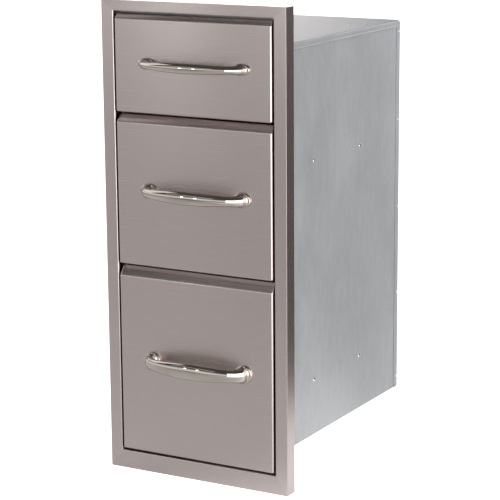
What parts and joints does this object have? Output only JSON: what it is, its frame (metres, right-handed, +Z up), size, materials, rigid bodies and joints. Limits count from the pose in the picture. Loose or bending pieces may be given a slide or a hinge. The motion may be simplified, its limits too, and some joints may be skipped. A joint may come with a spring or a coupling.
{
  "type": "built-in drawer unit",
  "caption": "Tall narrow built-in drawer unit for an outdoor kitchen: flanged brushed face frame, bevel-topped drawers with bow handles on telescopic slides, galvanised box behind.",
  "frame": {"origin": "middle of the flat underside of the cabinet, which stands on the sill of the wall's cut-out; the face frame reaches below it in front", "axes": "+Z up along the height; -Y is the way the drawers open; +X to the right for a person who faces the drawers"},
  "size_m": [0.36, 0.5317, 0.838],
  "materials": {
    "stainless": "brushed, grain level across the fronts and along each border of the frame",
    "galvanised": "galvanised, dull, faint spangle",
    "polished": "mirror polished",
    "zinc": "bright zinc plating",
    "cage": "plain bright steel"
  },
  "bodies": {
    "cabinet": {"face_frame": "stainless", "left_side_panel": "galvanised", "right_side_panel": "galvanised", "back_panel": "galvanised", "top_panel": "galvanised", "bottom_panel": "galvanised", "bottom_slide_outer_left": "zinc", "bottom_slide_outer_right": "zinc", "middle_slide_outer_left": "zinc", "middle_slide_outer_right": "zinc", "top_slide_outer_left": "zinc", "top_slide_outer_right": "zinc"},
    "bottom_outer_cages": {"bottom_outer_cage_left": "cage", "bottom_outer_cage_right": "cage"},
    "bottom_runners": {"bottom_slide_middle_left": "zinc", "bottom_slide_middle_right": "zinc"},
    "bottom_inner_cages": {"bottom_inner_cage_left": "cage", "bottom_inner_cage_right": "cage"},
    "bottom_drawer": {"bottom_front_skin": "stainless", "bottom_front_liner": "galvanised", "bottom_tray": "galvanised", "bottom_tray_back": "galvanised", "bottom_handle": "polished", "bottom_collar_left": "polished", "bottom_collar_right": "polished", "bottom_slide_inner_left": "zinc", "bottom_slide_inner_right": "zinc"},
    "middle_outer_cages": {"middle_outer_cage_left": "cage", "middle_outer_cage_right": "cage"},
    "middle_runners": {"middle_slide_middle_left": "zinc", "middle_slide_middle_right": "zinc"},
    "middle_inner_cages": {"middle_inner_cage_left": "cage", "middle_inner_cage_right": "cage"},
    "middle_drawer": {"middle_front_skin": "stainless", "middle_front_liner": "galvanised", "middle_tray": "galvanised", "middle_tray_back": "galvanised", "middle_handle": "polished", "middle_collar_left": "polished", "middle_collar_right": "polished", "middle_slide_inner_left": "zinc", "middle_slide_inner_right": "zinc"},
    "top_outer_cages": {"top_outer_cage_left": "cage", "top_outer_cage_right": "cage"},
    "top_runners": {"top_slide_middle_left": "zinc", "top_slide_middle_right": "zinc"},
    "top_inner_cages": {"top_inner_cage_left": "cage", "top_inner_cage_right": "cage"},
    "top_drawer": {"top_front_skin": "stainless", "top_front_liner": "galvanised", "top_tray": "galvanised", "top_tray_back": "galvanised", "top_handle": "polished", "top_collar_left": "polished", "top_collar_right": "polished", "top_slide_inner_left": "zinc", "top_slide_inner_right": "zinc"}
  },
  "joints": [
    {"name": "bottom_drawer_slide", "type": "slide", "parent": "cabinet", "child": "bottom_drawer", "axis": [0, -1, 0], "range_m": [0, 0.45]},
    {"name": "bottom_runner_slide", "type": "slide", "parent": "cabinet", "child": "bottom_runners", "axis": [0, -1, 0], "range_m": [0, 0.225]},
    {"name": "bottom_outer_cage_roll", "type": "slide", "parent": "cabinet", "child": "bottom_outer_cages", "axis": [0, -1, 0], "range_m": [0, 0.1125]},
    {"name": "bottom_inner_cage_roll", "type": "slide", "parent": "bottom_runners", "child": "bottom_inner_cages", "axis": [0, -1, 0], "range_m": [0, 0.1125]},
    {"name": "middle_drawer_slide", "type": "slide", "parent": "cabinet", "child": "middle_drawer", "axis": [0, -1, 0], "range_m": [0, 0.45]},
    {"name": "middle_runner_slide", "type": "slide", "parent": "cabinet", "child": "middle_runners", "axis": [0, -1, 0], "range_m": [0, 0.225]},
    {"name": "middle_outer_cage_roll", "type": "slide", "parent": "cabinet", "child": "middle_outer_cages", "axis": [0, -1, 0], "range_m": [0, 0.1125]},
    {"name": "middle_inner_cage_roll", "type": "slide", "parent": "middle_runners", "child": "middle_inner_cages", "axis": [0, -1, 0], "range_m": [0, 0.1125]},
    {"name": "top_drawer_slide", "type": "slide", "parent": "cabinet", "child": "top_drawer", "axis": [0, -1, 0], "range_m": [0, 0.45]},
    {"name": "top_runner_slide", "type": "slide", "parent": "cabinet", "child": "top_runners", "axis": [0, -1, 0], "range_m": [0, 0.225]},
    {"name": "top_outer_cage_roll", "type": "slide", "parent": "cabinet", "child": "top_outer_cages", "axis": [0, -1, 0], "range_m": [0, 0.1125]},
    {"name": "top_inner_cage_roll", "type": "slide", "parent": "top_runners", "child": "top_inner_cages", "axis": [0, -1, 0], "range_m": [0, 0.1125]}
  ],
  "couplings": [
    {"joint": "bottom_runner_slide", "follows": "bottom_drawer_slide", "ratio": 0.5},
    {"joint": "bottom_outer_cage_roll", "follows": "bottom_drawer_slide", "ratio": 0.25},
    {"joint": "bottom_inner_cage_roll", "follows": "bottom_drawer_slide", "ratio": 0.25},
    {"joint": "middle_runner_slide", "follows": "middle_drawer_slide", "ratio": 0.5},
    {"joint": "middle_outer_cage_roll", "follows": "middle_drawer_slide", "ratio": 0.25},
    {"joint": "middle_inner_cage_roll", "follows": "middle_drawer_slide", "ratio": 0.25},
    {"joint": "top_runner_slide", "follows": "top_drawer_slide", "ratio": 0.5},
    {"joint": "top_outer_cage_roll", "follows": "top_drawer_slide", "ratio": 0.25},
    {"joint": "top_inner_cage_roll", "follows": "top_drawer_slide", "ratio": 0.25}
  ]
}
